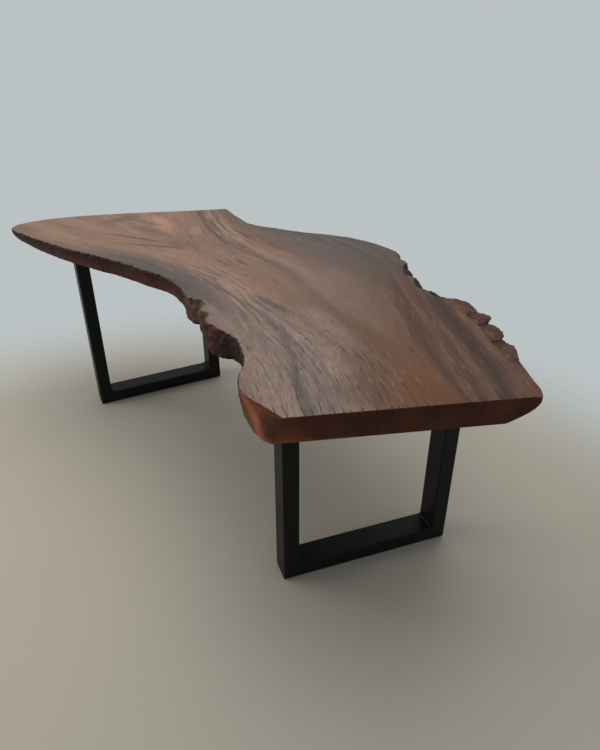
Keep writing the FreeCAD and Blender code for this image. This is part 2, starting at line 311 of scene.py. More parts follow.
def head_bead_stations(leg, side):
    """Round the head of an upright, under its plate."""
    middle, through, across, half_span, depth, face = leg_layout(leg)
    plate_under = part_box(f"{leg}_top_plate")[0].z
    centre = middle + across * side * half_span + Vector((0, 0, plate_under))
    straight_x = depth - 2 * HEAD_RADIUS
    straight_y = face - 2 * HEAD_RADIUS
    quarter = math.pi / 2 * HEAD_RADIUS
    lengths = [straight_y, quarter, straight_x, quarter] * 2
    total = sum(lengths)
    steps = round(total / BEAD_STEP)
    stations = []
    for step in range(steps + 1):
        left = total * step / steps
        turn = 0
        while turn < len(lengths) - 1 and left > lengths[turn]:
            left -= lengths[turn]
            turn += 1
        angle = (turn // 2) * math.pi / 2
        corner_x = straight_x / 2 if turn // 2 in (0, 3) else -straight_x / 2
        corner_y = straight_y / 2 if turn // 2 in (0, 1) else -straight_y / 2
        if turn % 2:
            angle += left / HEAD_RADIUS
            along = 0.0
        else:
            along = left - lengths[turn]
        out = Vector((math.cos(angle), math.sin(angle)))
        ahead = Vector((-out.y, out.x))
        plan = Vector((corner_x, corner_y)) + out * HEAD_RADIUS + ahead * along
        outward = through * out.x + across * out.y
        stations.append((centre + through * plan.x + across * plan.y, outward, Vector((0, 0, -1))))
    return stations


bead_coat = powder_coat("coated_weld")
beads = (
    ("corner_welds", corner_bead_stations, CORNER_BEAD),
    ("plate_welds", head_bead_stations, HEAD_BEAD),
)
for leg_number, leg in enumerate(LEGS):
    for part, stations, size in beads:
        weld = bmesh.new()
        for side in (-1, 1):
            weld_bead(weld, stations(leg, side), size, UNEVEN_SEED * leg_number + side)
        for face in weld.faces:
            face.smooth = True
        finish_piece(f"{leg}_{part}_bead", weld, bead_coat, [f"{leg}_{part}"])

# Floor pads
# A thin rubber pad is glued under each end of a floor rail, so that the frame doesn't slide or scratch.
PAD_BLACK = (20, 20, 20)
PAD_GREY = (48, 47, 45)
PAD_GRIT = 0.0009
PAD_GRIT_HEIGHT = 0.00015
SCUFF_SIZE = 0.02

rubber, shader, place = new_finish("pad_rubber")
grit = place.grain(per_metre(PAD_GRIT), 2.0)
scuff = place.grain(per_metre(SCUFF_SIZE), 4.0, 0.7)
greyed = scuff.rise(0.5, 0.75) * 0.7 + grit * 0.2
feed(shader.inputs["Base Color"], greyed.between(PAD_BLACK, PAD_GREY))
feed(shader.inputs["Roughness"], 0.72 + grit * 0.15)
emboss(shader, grit, PAD_GRIT_HEIGHT, 0.7)
dress([f"{leg}_floor_pads" for leg in LEGS], rubber)

# Slab
# One plank sawn through a forked trunk, with its natural sides left on: dark barkless wood in front, with
# two rotted pockets, and knobs behind. Both ends are saw cut, the top is planed and oiled satin.
SKIN = 0.00002                # how far inside its faces the slab's solid is cut for the outlines
STATION = 0.0027              # spacing round the side
CUT_STATION = 0.006
GUIDE_DEPTH = 0.017           # how far under the top the outline lies that spaces the stations
DEPTHS_ABOVE = np.append(np.arange(16, 0, -1) / 1000, [0.0005, SKIN])
DEPTHS_BELOW = np.array([0.019, 0.022, 0.026, 0.031, 0.037, 0.043, 0.049, 0.055, 0.060, 0.064, 0.067])
SEARCH_STEPS = 4000           # an outline is searched in this many steps for points abreast of the last
EVEN_REACH = 6                # and they are evened out over this many neighbours each way
CUT_FRONT = (0.60, -0.80)     # ways in which the slab's three sharp corners are furthest out
FAR_BACK = (-0.55, 0.83)
CUT_BACK = (1.0, -0.1)
ROUNDING = 0.006              # how much the kinks of the side's profile are rounded off
ARRIS = 0.0010                # the sharp edge round the top is eased this far in
HOLE_STEPS = 24
HOLE_DEPTH = 0.03
HOLE_CUT = 0.01               # a level cut this far above the underside meets the bolt holes
SIDE_MERGE = 0.000005
SHARP_TURN = math.radians(48)  # an edge that turns by more than this looks sharp
PLANED = (0.0, 2.0)           # the place on the side's map that marks the planed top and underside

slab_low, slab_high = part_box("slab_top")
TOP = slab_high.z
UNDERSIDE = slab_low.z
slab_solid = bmesh.new()
slab_solid.from_mesh(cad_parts["slab_top"].data)
bmesh.ops.remove_doubles(slab_solid, verts=slab_solid.verts, dist=MERGE)


def run_along(line):
    """How far along a line each of its points lies."""
    return np.append(0, np.cumsum(np.linalg.norm(np.diff(line, axis=0), axis=1)))


def outlines(height):
    """The closed outlines that a level cut through the slab's solid leaves, the longest first."""
    layer = slab_solid.copy()
    geometry = layer.verts[:] + layer.edges[:] + layer.faces[:]
    plane = {"plane_co": (0, 0, height), "plane_no": (0, 0, 1)}
    cut = bmesh.ops.bisect_plane(layer, geom=geometry, dist=0.0000001, **plane)
    edges = {element for element in cut["geom_cut"] if isinstance(element, bmesh.types.BMEdge)}
    found = []
    while edges:
        edge = edges.pop()
        first, vert = edge.verts
        points = [first.co.xy.copy(), vert.co.xy.copy()]
        while vert is not first:
            edge = next(link for link in vert.link_edges if link in edges)
            edges.remove(edge)
            vert = edge.other_vert(vert)
            points.append(vert.co.xy.copy())
        found.append(np.array(points))
    layer.free()
    return sorted(found, key=lambda line: -run_along(line)[-1])


def spread(line, shares):
    """Points at the given shares of a line's length."""
    runs = run_along(line)
    at = np.asarray(shares) * runs[-1]
    return np.column_stack([np.interp(at, runs, line[:, 0]), np.interp(at, runs, line[:, 1])])


def spans(height):
    """The outline at one height in three stretches: front and far end, back, and saw cut."""
    line = outlines(height)[0][:-1]
    after = np.roll(line, -1, axis=0)
    if (line[:, 0] * after[:, 1] - line[:, 1] * after[:, 0]).sum() > 0:
        line = line[::-1]
    line = np.roll(line, -int(np.argmax(line @ CUT_FRONT)), axis=0)
    line = np.vstack([line, line[:1]])
    far_back = int(np.argmax(line @ FAR_BACK))
    cut_back = int(np.argmax(line @ CUT_BACK))
    return [line[:far_back + 1], line[far_back:cut_back + 1], line[cut_back:]]


def keep_abreast(line, before):
    """Points on a line that stay beside those of the outline before it."""
    fine = spread(line, np.linspace(0, 1, SEARCH_STEPS))
    shares = []
    for point in before:
        shares.append(np.argmin(((fine - point) ** 2).sum(axis=1)) / (SEARCH_STEPS - 1))
    shares = np.maximum.accumulate(shares)
    shares[0] = 0
    shares[-1] = 1
    start = 2 * shares[0] - shares[EVEN_REACH:0:-1]
    end = 2 * shares[-1] - shares[-2:-EVEN_REACH - 2:-1]
    window = np.ones(2 * EVEN_REACH + 1) / (2 * EVEN_REACH + 1)
    return spread(line, np.convolve(np.concatenate([start, shares, end]), window, "valid"))


def even(line, step):
    """Evenly spaced points along a line."""
    return spread(line, np.linspace(0, 1, round(run_along(line)[-1] / step) + 1))


guide_height = TOP - GUIDE_DEPTH
guide = [even(line, step) for line, step in zip(spans(guide_height), (STATION, STATION, CUT_STATION))]
rings = {guide_height: guide}
for way in (TOP - DEPTHS_ABOVE, np.append(TOP - DEPTHS_BELOW, UNDERSIDE + SKIN)):
    before = guide
    for height in way:
        before = [keep_abreast(line, last) for line, last in zip(spans(height), before)]
        rings[height] = before
heights = sorted(rings)
levels = np.array(heights)
closed = []
for height in heights:
    closed.append(np.vstack([span[:-1] for span in rings[height]] + [rings[height][0][:1]]))
plan = closed[heights.index(guide_height)]
side_points = np.dstack([np.array(closed), np.repeat(levels[:, None], len(plan), axis=1)])
side_points[0, :, 2] = UNDERSIDE
side_points[-1, :, 2] = TOP
nearness = np.exp(-((levels[:, None] - levels) / ROUNDING) ** 2) * np.gradient(levels)
rounded = np.einsum("ij,jkl->ikl", nearness / nearness.sum(axis=1, keepdims=True), side_points)
inside = np.clip(np.minimum(TOP - levels, levels - UNDERSIDE) / ROUNDING, 0, 1)[:, None, None]
side_points[:, :, :2] += ((rounded - side_points) * inside)[:, :, :2]
cut_corner = guide[0][0]
cut_end = guide[2][0]
cut_along = (cut_corner - cut_end) / np.linalg.norm(cut_corner - cut_end)
cut_out = np.array([-cut_along[1], cut_along[0]])
cut_reach = float(cut_out @ cut_corner)

# The side's relief
# Left on the trunk's own skin, the sides swell and furrow along the grain. The pockets are torn and deep,
# and the back has burl knobs with creases between them. The saw cuts stay flat.
FRONT_LIFE = [                # how rough the front edge is, at places along it
    (-1.08, 0.3), (-0.90, 0.5), (-0.10, 0.6), (-0.02, 0.9), (0.44, 0.9), (0.54, 0.5), (0.77, 0.35),
]
BACK_LIFE = [
    (-0.73, 0.35), (0.10, 0.6), (0.22, 1.0), (0.88, 1.0), (0.94, 0.3), (1.00, 0.12), (1.08, 0.1),
]
SAWN_LIFE = 0.05
LIFE_REACH = 4                # stations each way over which the roughness is evened out
FAR_FACE = (-0.70, -0.36)     # the far saw cut is what lies past both of these, along and across
CORNER_FADE = 0.025           # the relief dies out this near a sharp corner
SWELL = 0.0030
SWELL_SIZE = 0.08
RAGGED = 0.0022
RAGGED_SIZE = 0.016
FURROW = 0.0012
FURROW_LENGTH = 0.06
FURROW_WIDTH = 0.008
FURROW_SEED = 4.2
KNOB_CREASES = (0.23, 0.30, 0.37, 0.475, 0.54, 0.685, 0.745, 0.838, 0.93)  # along the back edge
KNOB_CREASE = 0.003
CREASE_WANDER = 0.010
CREASE_WANDER_SIZE = 0.03
KNOB_LEAN = 1.6               # a knob is highest past its middle, towards the saw cut
KNOB_BULGE = 0.003            # how far a knob swells over the side
KNOB_DROP = 0.040             # and how far down it
SEAM = 0.0032                 # depth of the seams between the small burrs that a knob is made of
SEAM_WIDTH = 0.5              # of a burr
BURR_SIZE = 0.022
BELLY = 0.008                 # the smooth swelling of the back edge's last stretch
BELLY_START = (0.90, 0.97)
BELLY_LIFT = 0.7              # below 1, the belly is fullest above the middle of the side
JAG = 0.014                   # notches along the front rim
JAG_SIZE = 0.013
JAG_DROP = 0.012
JAG_LIFE = [                  # how strong the notches are, at places along the front edge
    (-1.06, 0.0), (-0.98, 1.0), (-0.10, 1.0), (0.05, 0.6), (0.45, 0.5), (0.60, 0.15), (0.77, 0.0),
]
SCOOPS = [                    # hollows in the back rim: from, to and how far in; less than 0 is a lump
    (0.150, 0.232, -0.013), (0.290, 0.372, 0.022), (0.395, 0.475, 0.012), (0.500, 0.545, 0.007),
]
SCOOP_DEPTH = 0.022
DARKEST_SCOOP = 0.004         # a hollow this deep is as dark as hollows get
SPLINTER = 0.007              # ridges of the split face beside the saw cut
SPLINTER_WIDTH = 0.014
SPLINTER_LENGTH = 0.11
SPLINTER_LEAN = (1.2, 1.7)    # the ridges lean: this much of the way from the cut, and of the depth
SPLINTER_SEED = 5.5
SPLIT_START = 0.60            # where that face begins, along the front edge
POCKET = 0.0054               # how far the pockets' faces are torn
POCKET_TEAR = 0.022
POCKETS = (-0.01, 0.43)       # along the front edge


def side_life():
    """How rough each station of the side is, from 0 on a clean saw cut to 1."""
    front, back, cut = guide
    front_life = np.interp(front[:-1, 0], *np.transpose(FRONT_LIFE))
    far_end = (front[:-1, 0] < FAR_FACE[0]) & (front[:-1, 1] > FAR_FACE[1])
    front_life[far_end] = SAWN_LIFE
    back_life = np.interp(back[:-1, 0], *np.transpose(BACK_LIFE))
    life = np.concatenate([front_life, back_life, np.full(len(cut) - 1, SAWN_LIFE), front_life[:1]])
    window = np.ones(2 * LIFE_REACH + 1) / (2 * LIFE_REACH + 1)
    wrapped = np.concatenate([life[-LIFE_REACH - 1:-1], life, life[1:LIFE_REACH + 1]])
    life = np.convolve(wrapped, window, "valid")
    for corner in (front[0], front[-1], back[-1]):
        life = life * np.clip(np.linalg.norm(plan - corner, axis=1) / CORNER_FADE, 0, 1)
    return life


def side_normals(points):
    """Outward directions over the side."""
    ring = np.concatenate([points[:, -2:-1], points, points[:, 1:2]], axis=1)
    along = ring[:, 2:] - ring[:, :-2]
    up = np.gradient(points, axis=0)
    normals = np.cross(up, along)
    return normals / np.maximum(np.linalg.norm(normals, axis=2, keepdims=True), 1e-9)


def knob_dome(along):
    """0 in the creases between the knobs of the back edge, rising to 1 over the middle of each knob."""
    after = int(np.searchsorted(KNOB_CREASES, along))
    if not 0 < after < len(KNOB_CREASES):
        return 0.0
    share = (along - KNOB_CREASES[after - 1]) / (KNOB_CREASES[after] - KNOB_CREASES[after - 1])
    return math.sqrt(1 - (2 * share ** KNOB_LEAN - 1) ** 2)


def knob_relief(place):
    """How far a knob stands out at a place on the back edge, and how deep in a hollow the place lies."""
    depth = TOP - place.z
    dome = knob_dome(place.x + CREASE_WANDER * noise.noise(place / CREASE_WANDER_SIZE))
    near, next_near = noise.voronoi(place / BURR_SIZE)[0][:2]
    seam = 1 - min(1.0, (next_near - near) / SEAM_WIDTH) ** 0.6
    swell = math.sin(math.pi * min(1.0, depth / KNOB_DROP)) * dome
    out = KNOB_BULGE * swell - KNOB_CREASE * (1 - dome) - SEAM * seam
    hollow = 0.8 * (1 - dome) ** 2 + 0.4 * seam
    return out, hollow


def scooped(point):
    """How far in the back rim is hollowed at a point: most at the top, or under it for a lump."""
    depth = TOP - point[2]
    for start, end, reach in SCOOPS:
        if start < point[0] < end:
            bowl = math.sin(math.pi * (point[0] - start) / (end - start)) ** 0.6
            if reach < 0:
                return reach * bowl * math.sin(math.pi * min(1.0, depth / KNOB_DROP))
            return reach * bowl * max(0.0, 1 - depth / SCOOP_DEPTH)
    return 0.0


def notched(point):
    """How far in the front rim is notched at a point: most at the top, none below the notch."""
    strength = np.interp(point[0], *np.transpose(JAG_LIFE))
    notch = max(0.0, noise.noise(Vector((point[0], point[1], 0.0)) / JAG_SIZE))
    return JAG * strength * notch * max(0.0, 1 - (TOP - point[2]) / JAG_DROP)


def belly_swell(point):
    """How far the smooth last stretch of the back edge swells out at a point."""
    started = np.interp(point[0], BELLY_START, (0.0, 1.0))
    share_down = (TOP - point[2]) / (TOP - UNDERSIDE)
    return BELLY * started * math.sin(math.pi * share_down ** BELLY_LIFT)


def relief(point, run, behind):
    """How far the side stands out at a point of it, and how deep in a hollow the point lies."""
    place = Vector(point)
    out = SWELL * noise.fractal(place / SWELL_SIZE, 1.0, 2.0, 2)
    rough = noise.fractal(place / RAGGED_SIZE, 0.7, 2.0, 3)
    out += RAGGED * rough
    out += FURROW * noise.noise(Vector((run / FURROW_LENGTH, point[2] / FURROW_WIDTH, FURROW_SEED)))
    hollow = 0.5 * max(0.0, -rough)
    if behind and place.x > KNOB_CREASES[0]:
        knob_out, knob_hollow = knob_relief(place)
        out += knob_out
        hollow += knob_hollow
    elif not behind and place.x > SPLIT_START:
        depth = TOP - place.z
        from_cut = cut_reach - float(cut_out @ point[:2])
        over_ridges = SPLINTER_LEAN[0] * from_cut + SPLINTER_LEAN[1] * depth
        ridge = Vector((over_ridges / SPLINTER_WIDTH, depth / SPLINTER_LENGTH, SPLINTER_SEED))
        out += SPLINTER * noise.noise(ridge)
    elif not behind and POCKETS[0] < point[0] < POCKETS[1] and point[1] < 0:
        torn = noise.fractal(place / POCKET_TEAR, 0.9, 2.0, 3)
        out += POCKET * torn
        hollow += max(0.0, -torn)
    return out, min(1.0, hollow)


life = side_life()
normals = side_normals(side_points)
runs = run_along(plan)
back_start = len(guide[0]) - 1
cut_start = back_start + len(guide[1]) - 1
shaped = side_points.copy()
eased = np.clip(1 - (TOP - levels) / (2 * ARRIS), 0, 1) ** 2
eased += 2 * np.clip(1 - (levels - UNDERSIDE) / (4 * ARRIS), 0, 1) ** 2
hollows = np.zeros(side_points.shape[:2])
for column in range(side_points.shape[1]):
    behind = back_start <= column < cut_start
    for row in range(side_points.shape[0]):
        point = side_points[row, column]
        normal = normals[row, column]
        shift, hollow = relief(point, runs[column], behind)
        move = normal * shift * life[column]
        if behind or column == cut_start:
            move[:2] -= cut_along * belly_swell(point)
        if column < cut_start and life[column] > 2 * SAWN_LIFE:
            scoop = scooped(point) if behind else notched(point)
            move[:2] -= normal[:2] / max(np.linalg.norm(normal[:2]), 0.1) * scoop
            hollow = max(hollow, min(1.0, scoop / DARKEST_SCOOP))
        if row in (0, len(heights) - 1):
            move[2] = 0.0
        shaped[row, column] += move - normal * ARRIS * eased[row]
        hollows[row, column] = hollow * min(1.0, 2 * life[column])
shaped[:, :, 2] = np.clip(shaped[:, :, 2], UNDERSIDE, TOP)
shaped[:, -1] = shaped[:, 0]

slab = bmesh.new()
side_map = slab.loops.layers.uv.new("side")
columns = shaped.shape[1] - 1
rows = shaped.shape[0] - 1
wrapped_grid(slab, columns, rows, lambda column, row: Vector(shaped[row, column]))
bmesh.ops.remove_doubles(slab, verts=slab.verts, dist=SIDE_MERGE)
# Each point's depth in a hollow goes onto the mesh, for the painted shade in the hollows
hollow_layer = slab.verts.layers.float.new("hollow")
for face in slab.faces:
    face.smooth = True
    for loop in face.loops:
        share_round, share_up = loop[side_map].uv
        loop.vert[hollow_layer] = hollows[round(share_up * rows), round(share_round * columns)]
open_edges = [edge for edge in slab.edges if edge.is_boundary]
rim_edges = [edge for edge in open_edges if edge.verts[0].co.z > (TOP + UNDERSIDE) / 2]
low_edges = [edge for edge in open_edges if edge.verts[0].co.z < (TOP + UNDERSIDE) / 2]
planed = bmesh.ops.contextual_create(slab, geom=rim_edges)["faces"]

# The underside has blind holes for the threaded inserts of the legs' bolts
hole_edges = []
for outline in outlines(UNDERSIDE + HOLE_CUT)[1:]:
    middle = outline[:-1].mean(axis=0)
    radius = float(np.linalg.norm(outline - middle, axis=1).max())
    at = Matrix.Translation((middle[0], middle[1], UNDERSIDE))
    hole = bmesh.ops.create_circle(slab, segments=HOLE_STEPS, radius=radius, matrix=at)
    hole_edges += list({edge for vert in hole["verts"] for edge in vert.link_edges})
filled = bmesh.ops.triangle_fill(slab, edges=low_edges + hole_edges, use_beauty=True, normal=(0, 0, -1))
planed += [element for element in filled["geom"] if isinstance(element, bmesh.types.BMFace)]
sunk = bmesh.ops.extrude_edge_only(slab, edges=hole_edges)
sunk_verts = [element for element in sunk["geom"] if isinstance(element, bmesh.types.BMVert)]
bmesh.ops.translate(slab, verts=sunk_verts, vec=(0, 0, HOLE_DEPTH))
for edge in rim_edges + low_edges + hole_edges:
    edge.smooth = False
for face in planed:
    for loop in face.loops:
        loop[side_map].uv = PLANED
for edge in slab.edges:
    if len(edge.link_faces) == 2 and edge.calc_face_angle() > SHARP_TURN:
        edge.smooth = False

# The wood
# Oiled brown hardwood. Its grain parts round a fork at the far end, runs straight through the waist and
# bends to meet the saw cut; bands, streaks, checks and flecks all follow it.
UPPER_BEND = [                # how the grain bends behind the fork: along the slab, then across it
    (-1.1, 0.31), (-0.8, 0.193), (-0.6, 0.106), (-0.4, 0.036), (-0.2, 0.008), (0.0, 0.0), (0.1, -0.012),
    (0.2, -0.04), (0.3, -0.09), (0.4, -0.161), (0.6, -0.305), (0.8, -0.438), (1.1, -0.65),
]
LOWER_BEND = [                # and in front of the fork
    (-1.1, -0.21), (-0.9, -0.175), (-0.75, -0.145), (-0.6, -0.107), (-0.4, -0.046), (-0.2, -0.005),
    (0.0, 0.0), (0.2, -0.036), (0.4, -0.085), (0.6, -0.147), (0.8, -0.248), (1.1, -0.44),
]
FORK_LINE = [                 # where the one bend gives way to the other
    (-1.1, -0.12), (-0.6, -0.09), (-0.3, -0.09), (0.0, -0.01), (0.3, 0.04), (0.5, 0.01), (0.7, -0.05),
    (1.1, -0.24),
]
FORK_WIDTH = 0.07
WANDER = ((6.0, 9.0, 9.0), 2.0, 0.5)  # swellings to the metre along, across and down; detail; roughness
WANDER_REACH = 0.03
WANDER_END = (0.8, 0.1)
FEATHER = ((26.0, 26.0, 26.0), 3.0, 0.6)
FEATHER_REACH = 0.014
BANDING = ((2.8, 16.0, 16.0), 4.0, 0.62)
LONG_STREAKS = ((3.4, 44.0, 44.0), 5.0, 0.70)
SHORT_STREAKS = ((11.0, 60.0, 60.0), 5.0, 0.70)
FLECKS = ((36.0, 170.0, 170.0), 3.0, 0.7)
FIBRES = ((16.0, 330.0, 330.0), 4.0, 0.72)
PORES = ((70.0, 1500.0, 1500.0), 1.0, 0.5)
DRIFT = ((7.0, 7.0, 7.0), 3.0, 0.6)
BLOTCHES = ((17.0, 17.0, 17.0), 4.0, 0.65)
RIPPLES = ((5.0, 80.0, 80.0), 3.0, 0.6)
PALE_TAN = (148, 115, 96)
TAN = (131, 101, 85)
ROSE_GREY = (138, 116, 107)
DUSK_ROSE = (124, 105, 97)
BROWN = (108, 84, 73)
GREY_BROWN = (96, 82, 77)
SHADE_GREY = (85, 76, 72)
RUSSET = (105, 70, 48)
MAUVE_BROWN = (102, 71, 55)
UMBER = (76, 49, 36)
DEEP_UMBER = (54, 34, 26)
FAR_BANDS = [                 # the colours across the grain at the far end, waist and near end
    (-0.38, BROWN), (-0.29, TAN), (-0.20, PALE_TAN), (-0.14, TAN), (-0.06, PALE_TAN), (0.02, TAN),
    (0.07, BROWN), (0.10, TAN), (0.16, BROWN), (0.25, SHADE_GREY),
]
WAIST_BANDS = [
    (-0.27, SHADE_GREY), (-0.22, GREY_BROWN), (-0.15, PALE_TAN), (-0.06, TAN), (0.04, TAN),
    (0.085, BROWN), (0.12, PALE_TAN), (0.20, BROWN), (0.30, GREY_BROWN), (0.44, SHADE_GREY),
]
NEAR_BANDS = [
    (-0.37, BROWN), (-0.30, ROSE_GREY), (-0.24, ROSE_GREY), (-0.175, DUSK_ROSE), (-0.12, DUSK_ROSE),
    (-0.075, ROSE_GREY), (-0.025, BROWN), (0.12, RUSSET), (0.24, RUSSET), (0.34, RUSSET), (0.42, UMBER),
    (0.45, MAUVE_BROWN), (0.48, UMBER), (0.515, MAUVE_BROWN), (0.56, DEEP_UMBER), (0.605, MAUVE_BROWN),
    (0.66, UMBER),
]
BAND_LOW = -0.40              # across the grain, where the bands start and end
BAND_HIGH = 0.70
BAND_SHIFT = (0.06, 0.02)     # how far bands and streaks shift the colours across the grain
LINE_SHIFT = (0.02, 0.012)    # and the marks
WAIST = (-0.75, -0.35)        # along the slab, where each set of bands gives way to the next
NEAR_END = (-0.05, 0.60)
CALM_ACROSS = ((-0.02, 0.06), (0.42, 0.30))     # a plain stretch: how it starts, and how it ends
CALM_ALONG = ((-0.15, 0.05), (0.85, 0.55))
FIGURED_ACROSS = (0.02, -0.06)                  # a lively stretch along the front
FIGURED_ALONG = (-0.40, 0.0)
FRONT_RIPPLES_ACROSS = ((-0.24, -0.19), (-0.07, -0.12))
FRONT_RIPPLES_ALONG = ((-0.30, -0.05), (0.85, 0.60))
FAR_RIPPLES_ACROSS = ((0.03, 0.07), (0.25, 0.19))
FAR_RIPPLES_ALONG = (-0.15, -0.32)
WARM_REACH = (0.25, 0.06)                       # warmer near the saw cut, cooler away from it
WARM_ACROSS = ((-0.14, -0.04), (0.46, 0.34))
COOL_REACH = (0.30, 0.45)
STREAK_UMBER = (58, 40, 33)
STREAK_GREY = (68, 61, 60)
STREAK_PALE = (170, 138, 118)
SPECK_GLINT = (176, 150, 134)
CHECK_DARK = (30, 17, 13)
CHECK_SPACING = 0.030         # across the grain
CHECK_REACH = (0.020, 0.110)  # how far the checks run in from the saw cut
CHECK_WIDTH = 0.0015
SPECK_CELL = (0.055, 0.011)   # one speck to a cell, along and across the grain
SPECK_SIZE = (0.012, 0.0013)
SPECK_REACH = (0.9, 0.5)      # from the cut
SPECK_ACROSS = (0.22, 0.02)
CRACK_CELL = (0.100, 0.024)   # hair cracks near the cut
CRACK_SIZE = (0.026, 0.0012)
CRACK_REACH = (0.34, 0.14)
KNOT_DARK = (54, 36, 29)
FLAME_GREY = (76, 67, 66)
VIOLET_GREY = (92, 83, 84)
LINE_BROWN = (92, 66, 53)
LINE_PALE = (164, 139, 126)
PATCH_PALE = (170, 130, 109)
RED_BROWN = (120, 84, 69)
MIST_ROSE = (124, 103, 95)
MARKS = [                     # along, across, half length, half width, slant, colour and strength
    (-0.500, 0.066, 0.340, 0.013, 0.03, LINE_BROWN, 0.75),
    (-0.450, 0.105, 0.150, 0.010, -0.08, LINE_PALE, 0.55),
    (-0.500, 0.127, 0.180, 0.009, 0.0, LINE_BROWN, 0.60),
    (-0.500, 0.147, 0.170, 0.009, 0.0, LINE_PALE, 0.45),
    (-0.600, 0.190, 0.170, 0.018, 0.0, LINE_BROWN, 0.50),
    (-0.100, -0.003, 0.060, 0.011, 0.0, KNOT_DARK, 0.60),
    (0.010, -0.052, 0.010, 0.005, 0.0, KNOT_DARK, 0.60),
    (-0.590, -0.300, 0.230, 0.024, 0.0, VIOLET_GREY, 0.60),
    (-1.010, -0.262, 0.110, 0.045, 0.0, VIOLET_GREY, 0.40),
    (0.340, 0.190, 0.340, 0.130, 0.2, MIST_ROSE, 0.60),
    (0.280, -0.272, 0.170, 0.036, 0.0, ROSE_GREY, 0.55),
    (0.480, 0.000, 0.190, 0.045, 0.08, ROSE_GREY, 0.75),
    (0.810, -0.035, 0.110, 0.070, 0.40, UMBER, 0.38),
    (0.500, 0.350, 0.160, 0.050, 0.10, BROWN, 0.65),
    (0.120, -0.170, 0.280, 0.013, 0.15, VIOLET_GREY, 0.80),
    (0.420, -0.140, 0.170, 0.013, 0.08, VIOLET_GREY, 0.85),
    (0.600, -0.183, 0.130, 0.015, -0.28, FLAME_GREY, 0.58),
    (0.750, -0.198, 0.130, 0.017, 0.05, FLAME_GREY, 0.55),
    (0.100, -0.142, 0.220, 0.008, 0.05, LINE_PALE, 0.35),
    (0.420, -0.110, 0.200, 0.008, 0.10, LINE_PALE, 0.35),
    (0.300, -0.174, 0.220, 0.008, 0.03, LINE_PALE, 0.35),
    (0.250, -0.088, 0.105, 0.019, 0.25, FLAME_GREY, 0.70),
    (0.250, -0.119, 0.085, 0.009, 0.13, VIOLET_GREY, 0.60),
    (0.580, 0.438, 0.270, 0.017, 0.05, UMBER, 0.65),
    (0.750, 0.555, 0.290, 0.032, 0.17, DEEP_UMBER, 0.55),
    (0.728, 0.315, 0.006, 0.004, 0.0, CHECK_DARK, 0.95),
    (0.740, 0.315, 0.040, 0.014, 0.0, KNOT_DARK, 0.45),
    (0.620, -0.167, 0.006, 0.005, 0.0, CHECK_DARK, 0.95),
]
FORK_MARKS = [                # the same by the fork, placed along and across the slab itself
    (-0.705, 0.018, 0.150, 0.044, -0.20, PATCH_PALE, 0.85),
    (-0.700, 0.090, 0.130, 0.018, -0.36, RED_BROWN, 0.50),
    (-0.865, -0.080, 0.050, 0.110, 0.0, GREY_BROWN, 0.70),
    (-0.770, -0.030, 0.110, 0.028, 0.30, GREY_BROWN, 0.50),
    (-0.520, 0.085, 0.060, 0.036, -0.30, PATCH_PALE, 0.45),
    (-0.640, -0.075, 0.130, 0.034, 0.20, BROWN, 0.55),
    (-0.440, -0.050, 0.130, 0.045, -0.15, BROWN, 0.50),
    (-0.610, -0.165, 0.120, 0.013, 0.50, LINE_BROWN, 0.75),
    (-0.460, -0.150, 0.120, 0.015, 0.75, LINE_BROWN, 0.70),
]
MARK_FRAY = 1.4               # how far streaks fray a mark's outline, of its size
MARK_EDGE = 1.3               # where a mark has faded out, of its size


def drawn_curve(along, points):
    """A smooth curve through given points, read at a place along it."""
    xs, ys = np.transpose(points)
    low = ys.min()
    span = ys.max() - low
    knots = [((x - xs[0]) / (xs[-1] - xs[0]), (y - low) / span) for x, y in points]
    share = (along - float(xs[0])) / float(xs[-1] - xs[0])
    return share.node("FloatCurve", {"curve": knots}, {"Value": share}) * float(span) + float(low)


def band_colours(across, bands):
    """The colour of the wood across its grain."""
    share = (across - BAND_LOW) / (BAND_HIGH - BAND_LOW)
    stops = [((at - BAND_LOW) / (BAND_HIGH - BAND_LOW), tone(colour)) for at, colour in bands]
    return share.node("ValToRGB", {"stops": stops}, {0: share})


def brightened(colour, factor, saturation=1.0):
    """A colour made lighter or darker by a factor, and stronger or greyer."""
    inputs = {"Saturation": saturation, "Value": factor, "Color": tone(colour)}
    return factor.node("HueSaturation", None, inputs)


def painted(colour, *coats):
    """A colour with coats painted over it, each a strength from 0 to 1 and a colour."""
    for strength, over in coats:
        colour = strength.between(colour, over)
    return colour


def figure(vector, kind):
    """One kind of unevenness in the wood, from about -0.5 to 0.5."""
    return vector.grain(*kind) - 0.5


def zone(signal, start, end):
    """1 from the rise at a stretch's start to the fall at its end, 0 outside it."""
    return signal.rise(*start) * signal.rise(*end)


wood, shader, place = new_finish("oiled_wood")
x = place.node("SeparateXYZ", None, {0: place})
y = x.other(1)
z = x.other(2)
fork = (y - drawn_curve(x, FORK_LINE)).rise(-FORK_WIDTH, FORK_WIDTH)
upper = drawn_curve(x, UPPER_BEND)
lower = drawn_curve(x, LOWER_BEND)
near_end = x.rise(*NEAR_END)
wander = figure(place, WANDER) * x.rise(*WANDER_END) * WANDER_REACH
feather = figure(place, FEATHER) * FEATHER_REACH
across = y - lower - (upper - lower) * fork + wander + feather
grain = x.node("CombineXYZ", None, {0: x, 1: across, 2: z})
bands = figure(grain, BANDING)
long_streaks = figure(grain, LONG_STREAKS)
short_streaks = figure(grain, SHORT_STREAKS)
streaks = long_streaks + (short_streaks - long_streaks) * near_end
flecks = figure(grain, FLECKS)
fibres = figure(grain, FIBRES)
pores = figure(grain, PORES)
drift = figure(place, DRIFT)
blotch = figure(place, BLOTCHES)
banded = across + bands * BAND_SHIFT[0] + streaks * BAND_SHIFT[1]
lined = across + bands * LINE_SHIFT[0] + streaks * LINE_SHIFT[1]
far_colour = x.rise(*WAIST).between(band_colours(banded, FAR_BANDS), band_colours(banded, WAIST_BANDS))
